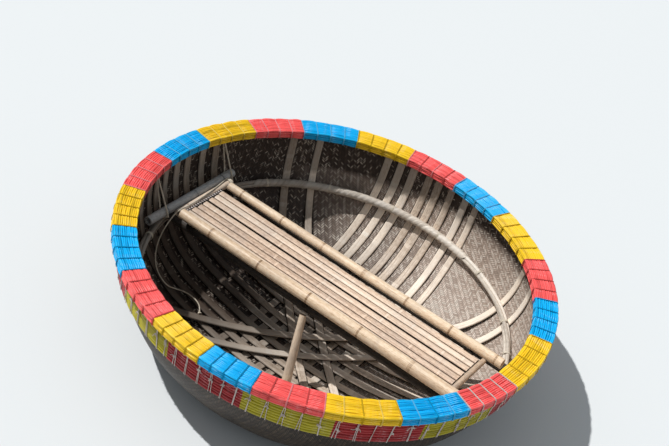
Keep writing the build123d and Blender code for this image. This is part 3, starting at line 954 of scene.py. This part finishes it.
bench_bamboo = bamboo(
    "bench_split_bamboo", (0.30, 0.18, 0.115), (0.80, 0.59, 0.43), (1.0, 0.88, 0.72),
    0.42, 0.4, 0.3, 0.0006, (1.02, 0.45, 0.0, 0.0),
)
worn_top, dirty_shaded_side, black_shaded_side = 0, 1, 2
slats = Gathered()
slat_y = -0.1647
for number, slat_ends in enumerate(slat_widths):
    middle_y = slat_y + slat_width / 2 + slat_shifts[number]
    slat_y += slat_width + slat_gaps[number]
    stations = np.linspace(slat_low.x + 0.006 * draw.random(), slat_high.x - 0.001, 160)
    node_run = draw.uniform(0.26, 0.34)
    past_node = from_node(stations, node_run, 2 + draw.uniform(0, node_run))
    ridge = near(past_node, 0.006) - 0.35 * near(past_node, 0.016)
    width = slat_width * np.interp(stations, (slat_low.x, slat_high.x), slat_ends)
    width = width * (1 + 0.010 * np.sin(stations * 5 + 1.7 * number)) * (1 + 0.022 * ridge)
    slat_size = np.stack([width, slat_thickness * (0.965 + 0.05 * ridge)], 1)
    path = np.stack(np.broadcast_arrays(stations, middle_y, slat_bottom), 1)
    shade = np.clip(0.12 + 0.76 * draw.random() + 0.5 * ridge, 0, 1)
    # The sides carry dirt and painted shade, and at the wide gap the front side is near-black painted
    # shade.
    front_side = black_shaded_side if number == 4 else dirty_shaded_side
    side_finishes = [dirty_shaded_side] + [worn_top] * 8 + [front_side] * 2 + [dirty_shaded_side] * 4
    slats.sweep(path, (0, -1, 0), (0, 0, 1), slat_section * slat_size[:, None], shade, side_finishes)
# The slats' sides are dark with dirt and painted shade.
slat_side_dirt_and_shade = bamboo(
    "slat_sides", (0.040, 0.028, 0.020), (0.140, 0.100, 0.072), (0.34, 0.25, 0.18), 0.7, 0.2, 0.4,
)
slat_finishes = [bench_bamboo, slat_side_dirt_and_shade, mud_and_painted_shade.material]
slats.piece("bench_split_slats", slat_finishes, "bench_bamboo", ["bench_slats"], 45)


# The bench's front and back edges are whole culms, thicker than the slats, which pass beyond them at
# the right. The back one is thinner. Both have swollen nodes and sawn, hollow ends.
def culm(gathered, start, end, start_radius, end_radius, node_run, tone, wall=0.006, sides=28):
    """Add a bamboo culm with nodes, and bores in its ends that stop at a wall."""
    bore_depth = 0.05
    start, end = np.array([start, end])
    length = np.linalg.norm(end - start)
    ahead = (end - start) / length
    stations = np.linspace(0, length, int(length / 0.010))
    past_node = from_node(stations, node_run, draw.uniform(0.3, 0.7) * node_run)
    ridge = near(past_node, 0.0045) - 0.5 * near(past_node, 0.013)
    radii = (start_radius + (end_radius - start_radius) * stations / length) * (0.975 + 0.045 * ridge)
    stations = np.concatenate([[bore_depth, 0.0], stations, [length, length - bore_depth]])
    radii = np.concatenate([[radii[0] - wall] * 2, radii, [radii[-1] - wall] * 2])
    across = unit(np.cross(ahead, (0, 0, 1)))
    section = circle(1, sides) * radii[:, None, None]
    shade = np.clip(tone - 0.9 * np.pad(near(past_node, 0.006), 2), -1.5, 1)
    gathered.sweep(start + np.outer(stations, ahead), across, np.cross(across, ahead), section, shade)


culm_bamboo = bamboo(
    "bench_culm_bamboo", (0.26, 0.15, 0.075), (0.72, 0.515, 0.335), (0.98, 0.81, 0.60),
    0.42, 0.4, 0.3, 0.0005, (1.08, 0.45, 0.0, 0.0),
)
edge_shapes = {
    "front": ((-0.760, -0.197, 0.384), (0.860, -0.197, 0.390), 0.026, 0.032, 0.29, 0.65),
    "back": ((-0.760, 0.1678, 0.380), (0.865, 0.1678, 0.384), 0.022, 0.026, 0.25, 0.80),
}
for edge, shape in edge_shapes.items():
    edge_culm = Gathered()
    culm(edge_culm, *shape)
    edge_culm.piece(f"bench_{edge}_bamboo", [culm_bamboo], "bench_bamboo", [f"bench_{edge}_culm"])


# The crossrod is a thin brown stick that closes the slats' right ends, from one culm to the other.
def ends_along_y(name):
    """Return the two ends of the middle line of a piece that lies from front to back."""
    low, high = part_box(name)
    middle_x, middle_z = (low.x + high.x) / 2, (low.z + high.z) / 2
    return (middle_x, low.y, middle_z), (middle_x, high.y, middle_z)


crossrod = Gathered()
pole(crossrod, *ends_along_y("bench_crossrod"), 0.0148, 0.0138, 0.4, 26)
brown_stick = bamboo(
    "brown_stick", (0.18, 0.115, 0.07), (0.56, 0.41, 0.29), (0.84, 0.68, 0.51), 0.6, 0.3, 0.6,
)
crossrod.piece("bench_cross_stick", [brown_stick], "weathered_bamboo", ["bench_crossrod"], 50)


# The crossbar is a tan culm at the left end. Two pale and two dark cords are plaited through the
# slats' ends beside it.
crossbar = Gathered()
culm(crossbar, *ends_along_y("bench_crossbar"), 0.018, 0.018, 0.19, 0.8, 0.005, 24)
crossbar.piece("bench_cross_bamboo", [bench_bamboo], "bench_bamboo", ["bench_crossbar"])
plait = Gathered()
plait_part = np.linspace(0, 1, 300)
for strand in range(4):
    swing = plait_part * 2 * math.pi * 9 + strand * math.pi / 2
    plait_path = np.stack([
        -0.7690 + 0.0052 * np.sin(swing),
        -0.160 + 0.285 * plait_part,
        0.3690 + 0.0040 * np.sin(2 * swing + 0.5),
    ], 1)
    plait.strand(plait_path, 0.0026, 7, 0.5, strand % 2)
dark_cord = laid_rope("dark_cord", (0.06, 0.055, 0.05), (0.012, 0.011, 0.010), 200)
plait.piece("bench_end_plait", [bleached_cord, dark_cord], "lashing_cord", [], 80)


# The yoke pole is an old bamboo culm, silvered by the weather, with sawn, hollow ends. It hangs from
# the rim at the left end in two slings of twisted rope.
yoke_ends = ends_along_y("yoke_pole")
yoke = Gathered()
culm(yoke, *yoke_ends, 0.0232, 0.0228, 0.21, 0.5, 0.008)
grey_pole = bamboo(
    "silvered_pole", (0.15, 0.145, 0.14), (0.38, 0.37, 0.355), (0.58, 0.565, 0.54), 0.75, 0.2, 0.3, 0.0009,
)
yoke.piece("yoke_grey_pole", [grey_pole], "grey_wood", ["yoke_pole"], 50)
yoke_x, yoke_z = yoke_ends[0][::2]
sling_top = rim_underside + 0.004
sling_wrap = 0.0230 + 0.0043
sling_strand = 0.0021
sling_twist = np.linspace(0, 2 * math.pi * 26, 220)
slings = Gathered()
for sling_y in (-0.228, 0.266):
    points = [(-math.sqrt(0.953 ** 2 - sling_y ** 2), sling_y, sling_top)]
    for turn in np.radians(np.linspace(150, 375, 9)):
        points.append((yoke_x + sling_wrap * math.cos(turn), sling_y, yoke_z + sling_wrap * math.sin(turn)))
    points.append((-math.sqrt(0.943 ** 2 - sling_y ** 2), sling_y, sling_top))
    route = curved(points, 220)
    across, outward = carried(route)
    for strand in range(3):
        twist = sling_twist + strand * 2 * math.pi / 3
        away = np.cos(twist)[:, None] * across + np.sin(twist)[:, None] * outward
        slings.sweep(route + sling_strand * away, across, outward, circle(sling_strand, 6), draw.random())
slings.piece("yoke_rope_slings", [pale_cord], "sling_rope", ["yoke_slings"], 80)


# The raking post is a tan pole, with its foot on the ribs and its head under the front beam. In the boat
# it is cut hollow at its head to fit the beam; here the head is plain.
post_foot = (0.085, -0.324, -0.036)
post_head = (0.0045, -0.1925, 0.278)
post = Gathered()
pole(post, post_foot, post_head, 0.0232, 0.0175, 0.8, 24, rough=0.03)
tan_pole = bamboo("tan_pole", (0.26, 0.17, 0.105), (0.62, 0.46, 0.32), (0.86, 0.70, 0.54), 0.6, 0.3, 0.45)
post.piece("raking_post", [tan_pole], "grey_wood", ["floor_post"], 50)


# The boat floats: the pale floor is the water's plane, and is open where the hull comes through it.
water_radius = bowl_radius(0.0, -hull_wall) - 0.004
floor_radii = (water_radius, 1.5, 4.0, 30.0)
floor_points = np.concatenate([around(hull_turns, radius) for radius in floor_radii])
floor_mesh = bpy.data.meshes.new("pale_floor")
floor_mesh.from_pydata(floor_points.tolist(), [], [face[::-1] for face in ring_faces(0, len(floor_radii))])
floor = placed("pale_floor", floor_mesh)
floor_finish = Finish("pale_floor", 0.8, 0.2)
floor_finish.put("Base Color", (0.72, 0.74, 0.74))
floor_mesh.materials.append(floor_finish.material)
floor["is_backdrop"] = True


# A key light stands high at the left, as the sun does in the photograph, and the pale room fills
# the shadows.
key_data = bpy.data.lights.new("soft_key", "SUN")
key_data.energy = 3.3
key_data.angle = math.radians(1)
key = placed("soft_key", key_data)
key_direction = Matrix.Rotation(view_turn, 3, "Z") @ Vector((-0.542, 0.052, 0.839))
key.rotation_euler = key_direction.to_track_quat("Z", "Y").to_euler()
world = bpy.data.worlds.new("pale_room")
world.use_nodes = True
background = world.node_tree.nodes["Background"].inputs
background["Color"].default_value = (0.80, 0.86, 0.92, 1)
background["Strength"].default_value = 0.40
bpy.context.scene.world = world
bpy.context.scene.view_settings.view_transform = "Standard"

low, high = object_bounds()
